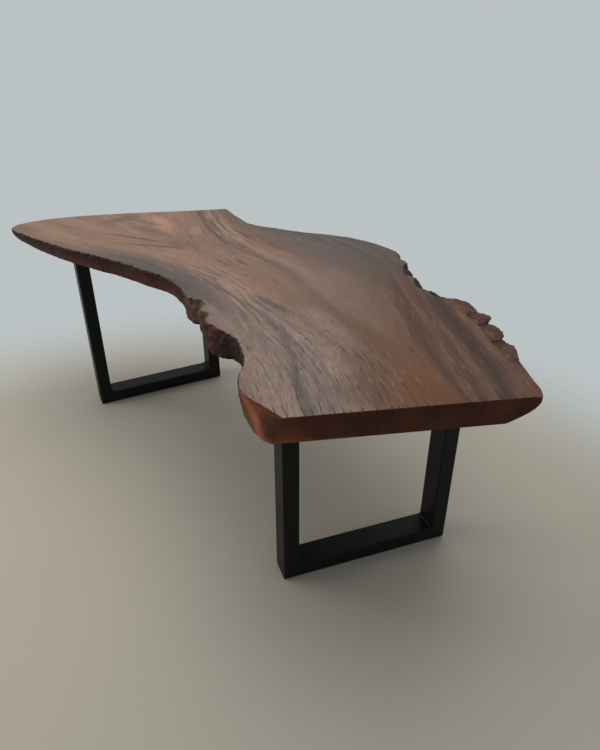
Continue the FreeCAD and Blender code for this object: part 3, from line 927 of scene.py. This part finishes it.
top_colour = near_end.between(far_colour, band_colours(banded, NEAR_BANDS))
for line, marks in ((lined, MARKS), (y + lined - across, FORK_MARKS)):
    for along, side, half_length, half_width, slant, colour, strength in marks:
        lengthways = (x - along) / half_length
        crossways = (line - side - (x - along) * slant) / half_width
        spread_out = lengthways * lengthways + crossways * crossways + (streaks + drift) * MARK_FRAY
        top_colour = (spread_out.rise(MARK_EDGE, 0.0) * strength).between(top_colour, colour)

# Streaks and ripples, livelier along the front and calm in the middle
from_cut = cut_reach - place.vector("DOT_PRODUCT", (*cut_out, 0), "Value")
calm = zone(across, *CALM_ACROSS) * zone(x, *CALM_ALONG)
figured = across.rise(*FIGURED_ACROSS) * x.rise(*FIGURED_ALONG)
liveliness = 1.25 - calm * 0.75 + figured * 0.15 - near_end * 0.30
dark_streaks = (streaks + bands * 0.35).rise(0.02, 0.20) * liveliness * 0.55
pale_streaks = (streaks + bands * 0.2).rise(-0.03, -0.26) * liveliness * 0.34
streak_colour = across.rise(0.10, -0.10).between(STREAK_UMBER, STREAK_GREY)
ripple = figure(grain, RIPPLES)
front_ripples = zone(across, *FRONT_RIPPLES_ACROSS) * zone(x, *FRONT_RIPPLES_ALONG)
far_ripples = zone(across, *FAR_RIPPLES_ACROSS) * x.rise(*FAR_RIPPLES_ALONG)
rippled = front_ripples + far_ripples
top_colour = painted(
    top_colour,
    (dark_streaks, streak_colour),
    (pale_streaks, STREAK_PALE),
    (ripple.rise(0.01, 0.13) * rippled * 0.65, far_ripples.between(VIOLET_GREY, LINE_BROWN)),
    (ripple.rise(-0.03, -0.16) * rippled * 0.52, LINE_PALE),
)
texture = fibres * (0.4 + near_end * 0.3) + flecks * (0.3 + near_end * 0.35) + pores * 0.18
light = 1.04 + texture * (1.0 - calm * 0.5 + figured * 0.6) + drift * 0.30 + blotch * 0.32
warm = from_cut.rise(*WARM_REACH) * zone(across, *WARM_ACROSS) * 0.12
cool = from_cut.rise(*COOL_REACH) * calm * 0.06
top_colour = brightened(top_colour, light, 0.97 + blotch * 0.25 + warm - cool)

# Checks open where the cut end dries first, and short specks are open pores: dark ones, and pale ones
# painted as highlights of pores catching the light
check_cells = {"W": (across + streaks * 0.006) / CHECK_SPACING, "Scale": 1.0}
check_gap = place.node("TexVoronoi", {"voronoi_dimensions": "1D"}, check_cells)
check_share = place.node("SeparateColor", None, {0: check_gap.other("Color")})
check_reach = CHECK_REACH[0] + check_share * check_share * (CHECK_REACH[1] - CHECK_REACH[0])
check_taper = (1 - from_cut / check_reach) * (CHECK_WIDTH / CHECK_SPACING)
checks = (check_taper - check_gap).rise(0.0, 0.006)


def short_marks(cell, size):
    """Short marks along the grain, one to a cell: 1 on a mark, and a draw from 0 to 1 for its cell."""
    at = grain.vector("DIVIDE", (*cell, 1.0))
    cells = grain.node("TexVoronoi", {"voronoi_dimensions": "2D"}, {"Vector": at, "Scale": 1.0})
    shape = (cell[0] / size[0], cell[1] / size[1], 0.0)
    offset = at.vector("SUBTRACT", cells.other("Position")).vector("MULTIPLY", shape)
    reach = offset.vector("LENGTH", output="Value")
    draw = grain.node("SeparateColor", None, {0: cells.other("Color")})
    return (reach * (0.6 + draw.other(1) * 1.2)).rise(1.0, 0.5), draw


specks, speck_draw = short_marks(SPECK_CELL, SPECK_SIZE)
specks = specks * from_cut.rise(*SPECK_REACH) * across.rise(*SPECK_ACROSS)
cracks, crack_draw = short_marks(CRACK_CELL, CRACK_SIZE)
cracks = cracks * crack_draw.rise(0.66, 0.58) * from_cut.rise(*CRACK_REACH)
checks = checks.math("MAXIMUM", checks, cracks)
glinting_specks = specks * speck_draw.rise(0.60, 0.75)
dark_specks = specks * speck_draw.rise(0.28, 0.20)
top_colour = painted(
    top_colour,
    # pale specks are painted highlights; the dark ones are open pores
    (glinting_specks * 0.36, SPECK_GLINT),
    (dark_specks * 0.65, CHECK_DARK),
    (checks * 0.90, CHECK_DARK),
)

# The underside is the same wood, left as the saw and a rough sanding made it, without oil
UNDER_DUST = (118, 98, 84)
SAW_PITCH = 0.0045
SAW_LINES = ((1 / SAW_PITCH, 3.0, 1.0), 2.0, 0.5)
UNDER_SKIN = (0.003, 0.001)   # height over the underside
under = (z - UNDERSIDE).rise(*UNDER_SKIN)
saw_lines = figure(place, SAW_LINES)
top_colour = (under * 0.35).between(top_colour, UNDER_DUST)
top_colour = brightened(top_colour, 1.0 + saw_lines * under * 0.35)

# The sides: dark weathered wood, torn pockets, an orange split face beside the cut, and end grain
SIDE_DARK = (27, 13, 11)
SIDE_RED = (98, 50, 41)
HOLLOW_SHADE = (20, 11, 10)
POCKET_BROWN = (106, 76, 62)
POCKET_ROT_AND_SHADE = (44, 22, 18)
POCKET_RED = (122, 62, 46)
SPLIT_RED = (116, 58, 40)
SPLIT_PALE = (142, 84, 62)
SPLIT_BROWN = (94, 64, 36)
SPLIT_DARK = (80, 45, 32)
CUT_DARK = (58, 29, 20)
CUT_BROWN = (94, 50, 32)
CUT_ORANGE = (150, 84, 48)
KNOB_BROWN = (62, 42, 36)
KNOB_RED = (118, 82, 70)
BELLY_RED = (112, 72, 63)
RIM_HIGHLIGHT = (176, 128, 104)
WEATHERING = ((30.0, 30.0, 60.0), 4.0, 0.65)  # kinds of unevenness, written as for the top
COARSE = ((11.0, 11.0, 16.0), 3.0, 0.6)
STROKES = ((46.0, 46.0, 7.0), 3.0, 0.6)
END_GRAIN = ((90.0, 90.0, 220.0), 3.0, 0.7)
FIRST_POCKET = (0.22, 0.03)   # along the front edge, from the near end to the far one
SECOND_POCKET = (0.46, 0.23)
RED_PATCH = (0.29, 0.25)
FRONT_SIDE = -0.25            # places along the front edge are looked for in front of this
KNOBS_START = 0.16            # along the back edge
STRETCH_FADE = 0.004          # of the way round
SPLIT_FADE = 0.006
SIDE_LIGHTER = (0.010, 0.050)  # depths under the top
KNOB_SHADE = (0.016, 0.034)
RIM_HIGHLIGHT_DEPTHS = (0.0055, 0.0015)
SPLIT_RIM_SHADOW = (0.006, 0.002)
LOW_ON_CUT = (0.058, 0.069)
SPLIT_PALER = (0.10, 0.14)    # over the ridges of the split face, away from the cut
SPLIT_BROWNER = (0.155, 0.18)
SPLIT_SHADED = (0.14, 0.07)
CUT_FACE = (0.0012, 0.0004)   # from the cut
PLANED_EDGE = (1.4, 1.6)      # on the side's map, between the side and PLANED
SATIN = 0.2
RELIEF = 0.0008               # of fibres, pores, checks and weathered skin


def front_share(along):
    """The share of the way round the side at a place along the front edge."""
    gaps = np.where(guide[0][:, 1] < FRONT_SIDE, np.abs(guide[0][:, 0] - along), np.inf)
    return int(np.argmin(gaps)) / columns


def back_share(along):
    """The share of the way round the side at a place along the back edge."""
    return (back_start + int(np.argmin(np.abs(guide[1][:, 0] - along)))) / columns


def front_stretch(near, far):
    """1 along one stretch of the front edge, 0 elsewhere."""
    first = front_share(near)
    last = front_share(far)
    start = (first - STRETCH_FADE, first + STRETCH_FADE)
    return zone(way_round, start, (last + STRETCH_FADE, last - STRETCH_FADE))


side_place = place.node("UVMap", {"uv_map": "side"})
way_round = place.node("SeparateXYZ", None, {0: side_place})
flat = way_round.other(1).rise(*PLANED_EDGE)
hollow = place.node("Attribute", {"attribute_name": "hollow"}, None, "Fac")
depth = TOP - z
skin = figure(place, WEATHERING)
coarse = figure(place, COARSE)
strokes = figure(place, STROKES)
side_tone = 0.18 + streaks * 0.8 + fibres * 0.9 + flecks * 0.6 + coarse
side_tone = side_tone + depth.rise(*SIDE_LIGHTER) * 0.42
pocket_colour = brightened(POCKET_BROWN, 0.96 + skin * 0.8 + flecks * 0.9 - depth * 8.0)
# The second pocket is dark partly from its rotted wood and partly from painted shade deep in the pocket
torn = (skin + coarse * 0.6).rise(0.08, 0.30) * 0.45
torn_colour = brightened(torn.between(POCKET_ROT_AND_SHADE, POCKET_RED), 1.05 + skin * 1.2 + flecks * 1.2 + coarse)

# The split face is shaded along its ridges. Beside the cut its upper part blends into the dark end grain
# colour, a painted shade that stands in for the shading round a rounded corner
over_ridges = from_cut * SPLINTER_LEAN[0] + depth * SPLINTER_LEAN[1] + strokes * 0.03
split_colour = painted(
    SPLIT_RED,
    (over_ridges.rise(*SPLIT_PALER), SPLIT_PALE),
    (over_ridges.rise(*SPLIT_BROWNER), SPLIT_BROWN),
    ((depth + strokes * 0.01).rise(0.0, 0.030) * over_ridges.rise(*SPLIT_SHADED), SPLIT_DARK),
    # painted shade of a rounded corner, blending into the cut
    ((from_cut + strokes * 0.02).rise(0.055, 0.008) * depth.rise(0.072, 0.045) * 0.88, CUT_DARK),
)
split_colour = brightened(split_colour, 1.20 + strokes * 0.6 + fibres * 0.7)
split_end = front_share(SPLIT_START)
split = way_round.rise(split_end + SPLIT_FADE, split_end - SPLIT_FADE)

# The knobs of the back edge give way to its smooth belly
knob_tone = 0.45 + skin * 1.6 + flecks * 0.7 + coarse
belly_colour = brightened(BELLY_RED, 0.95 + streaks * 1.2 + skin * 0.8)
bellied = way_round.rise(*[back_share(along) for along in BELLY_START])
knob_colour = (bellied * 0.7).between(knob_tone.between(KNOB_BROWN, KNOB_RED), belly_colour)
knobs_start = back_share(KNOBS_START)
knobby = way_round.rise(knobs_start - STRETCH_FADE, knobs_start + STRETCH_FADE)

# The end grain of the saw cut is paler at its lower front corner
end_tone = 0.3 + figure(place, END_GRAIN) * 0.8 + coarse * 1.7
from_corner = place.vector("DISTANCE", (*cut_corner, UNDERSIDE), "Value")
cut_low = (depth + coarse * 0.02).rise(*LOW_ON_CUT) * from_corner.rise(0.24, 0.04) * 0.4
cut_low = cut_low + (from_corner + coarse * 0.05).rise(0.085, 0.015) * 0.35
end_colour = cut_low.between(end_tone.between(CUT_DARK, CUT_BROWN), CUT_ORANGE)
cut = from_cut.rise(*CUT_FACE)
# A thin pale line just under the top edge, off the cut, is a painted highlight where the eased edge
# catches the light
rim_highlight = depth.rise(*RIM_HIGHLIGHT_DEPTHS) * (skin + 0.55).rise(0.35, 0.75) * (1 - cut)

side_colour = painted(
    side_tone.between(SIDE_DARK, SIDE_RED),
    (front_stretch(*FIRST_POCKET), pocket_colour),
    (front_stretch(*SECOND_POCKET), torn_colour),
    (front_stretch(*RED_PATCH) * (0.3 + skin * 2.0), POCKET_RED),
    (split, split_colour),
    (knobby, knob_colour),
    (depth.rise(*KNOB_SHADE) * knobby * 0.6, SIDE_DARK),
    # painted shade in the hollows, creases and pits of the side
    (hollow.rise(0.15, 0.9) * (1 - split) * 0.85, HOLLOW_SHADE),
    (cut, end_colour),
    # painted highlight along the top edge, except on the split face
    (rim_highlight * (1 - split) * 0.12, RIM_HIGHLIGHT),
    # painted shadow line just under the top edge of the split face
    (depth.rise(*SPLIT_RIM_SHADOW) * split * 0.6, SPLIT_DARK),
)
feed(shader.inputs["Base Color"], flat.between(side_colour, top_colour))
feed(shader.inputs["Roughness"], 0.72 - flat * (1 - under) * 0.22 + fibres * 0.2 + drift * 0.15)
feed(shader.inputs["Specular IOR Level"], SATIN)
height = fibres * 0.5 + pores * 0.3 - checks * 2.0 - dark_specks + saw_lines * under
height = height + (1 - flat) * (skin * 2.0 + flecks * 1.6 + streaks)
emboss(shader, height, RELIEF, 0.6)
finish_piece("slab", slab, wood, ["slab_top"])

# Threaded inserts, bolts and washers
# Six zinc plated hexagon bolts with broad washers hold each plate to threaded inserts in the slab.
ZINC_PALE = (186, 188, 190)
ZINC_DULL = (138, 142, 148)
ZINC_BLOOM = 0.006            # one cloud of the plating
ZINC_ROUGH = 0.28
INSERT_PALE = (176, 160, 128)
INSERT_DULL = (120, 108, 86)
INSERT_BLOOM = 0.004
INSERT_ROUGH = 0.35


def plated(name, dull, pale, bloom_size, roughness):
    """Plated steel with a cloudy bloom."""
    plating, shader, place = new_finish(name)
    bloom = place.grain(per_metre(bloom_size), 4.0, 0.6)
    feed(shader.inputs["Base Color"], bloom.between(dull, pale))
    feed(shader.inputs["Metallic"], 1.0)
    feed(shader.inputs["Roughness"], roughness + bloom * 0.2)
    return plating


zinc = plated("zinc_plate", ZINC_DULL, ZINC_PALE, ZINC_BLOOM, ZINC_ROUGH)
dress([f"{leg}_{part}" for leg in LEGS for part in ("bolts", "washers")], zinc)
insert_steel = plated("insert_steel", INSERT_DULL, INSERT_PALE, INSERT_BLOOM, INSERT_ROUGH)
dress([f"{leg}_inserts" for leg in LEGS], insert_steel)

# Floor, light and camera
# A plain pale floor that fades into a pale surround, soft lamps overhead and to the left, and a camera
# at standing height off the front corner of the saw cut end.
FLOOR_COLOUR = (192, 184, 171)
FLOOR_DULL = [0.96 * part for part in FLOOR_COLOUR]
MOTTLE_SIZE = 0.25
FLOOR_REACH = 6.0
FLOOR_STEPS = 96
FLOOR_MIDDLE = (0.6, -0.8, 0.0)
FLOOR_FADE = (1.5, 2.4)       # from its middle
SURROUND = (187, 194, 195)
WORLD_LIGHT = 0.6
LAMPS = [                     # name, place, what it faces, size, watts and colour
    ("overhead", (-0.3, 0.4, 3.4), (0, 0, 0.7), 3.2, 58, (255, 250, 242)),
    ("left", (-2.2, -2.6, 1.8), (0, 0, 0.5), 2.2, 36, (255, 250, 244)),
]
CAMERA_PLACE = (1.62893, -1.17258, 1.50640)
CAMERA_RIGHT = Vector((0.64236288, 0.76640005, 0.00094244))
CAMERA_UP = Vector((-0.3888747, 0.32487757, 0.86210848))
LENS = 29.377
SENSOR = 36.0

floor_mesh = bmesh.new()
bmesh.ops.create_circle(floor_mesh, cap_ends=True, segments=FLOOR_STEPS, radius=FLOOR_REACH)
floor_data = bpy.data.meshes.new("floor")
floor_mesh.to_mesh(floor_data)
floor_mesh.free()
floor = bpy.data.objects.new("floor", floor_data)
bpy.context.scene.collection.objects.link(floor)
floor_paint, shader, place = new_finish("floor_paint")
mottle = place.grain(per_metre(MOTTLE_SIZE), 3.0)
feed(shader.inputs["Base Color"], (mottle * 0.5).between(FLOOR_COLOUR, FLOOR_DULL))
feed(shader.inputs["Roughness"], 0.55)
reach = place.vector("DISTANCE", FLOOR_MIDDLE, "Value")
clear = place.node("BsdfTransparent")
fade = place.node("MixShader", None, {0: reach.rise(*FLOOR_FADE), 1: Signal(shader.outputs[0]), 2: clear})
feed(floor_paint.node_tree.nodes["Material Output"].inputs["Surface"], fade)
floor_data.materials.append(floor_paint)

scene = bpy.context.scene
scene.view_settings.view_transform = "Standard"
world = bpy.data.worlds.new("surround")
scene.world = world
world.use_nodes = True
backdrop = world.node_tree.nodes["Background"]
ray = Signal(world.node_tree.nodes.new("ShaderNodeLightPath").outputs["Is Camera Ray"])
seen = ray.math("MAXIMUM", ray, ray.other("Is Glossy Ray"))
seen = seen.math("MAXIMUM", seen, ray.other("Is Transmission Ray"))
feed(backdrop.inputs["Color"], tone(SURROUND))
feed(backdrop.inputs["Strength"], WORLD_LIGHT + seen * (1 - WORLD_LIGHT))


def soft_lamp(name, position, aim, size, watts, colour):
    """A square soft lamp that faces a point."""
    lamp = bpy.data.lights.new(name, "AREA")
    lamp.size = size
    lamp.energy = watts
    lamp.color = tone(colour)[:3]
    holder = bpy.data.objects.new(name, lamp)
    holder.location = position
    holder.rotation_euler = (Vector(aim) - Vector(position)).to_track_quat("-Z", "Y").to_euler()
    scene.collection.objects.link(holder)


for lamp in LAMPS:
    soft_lamp(*lamp)
camera = bpy.data.objects.new("camera", bpy.data.cameras.new("camera"))
camera.data.lens = LENS
camera.data.sensor_width = SENSOR
facing = Matrix((CAMERA_RIGHT, CAMERA_UP, CAMERA_RIGHT.cross(CAMERA_UP))).transposed()
camera.matrix_world = Matrix.Translation(CAMERA_PLACE) @ facing.to_4x4()
scene.collection.objects.link(camera)
scene.camera = camera
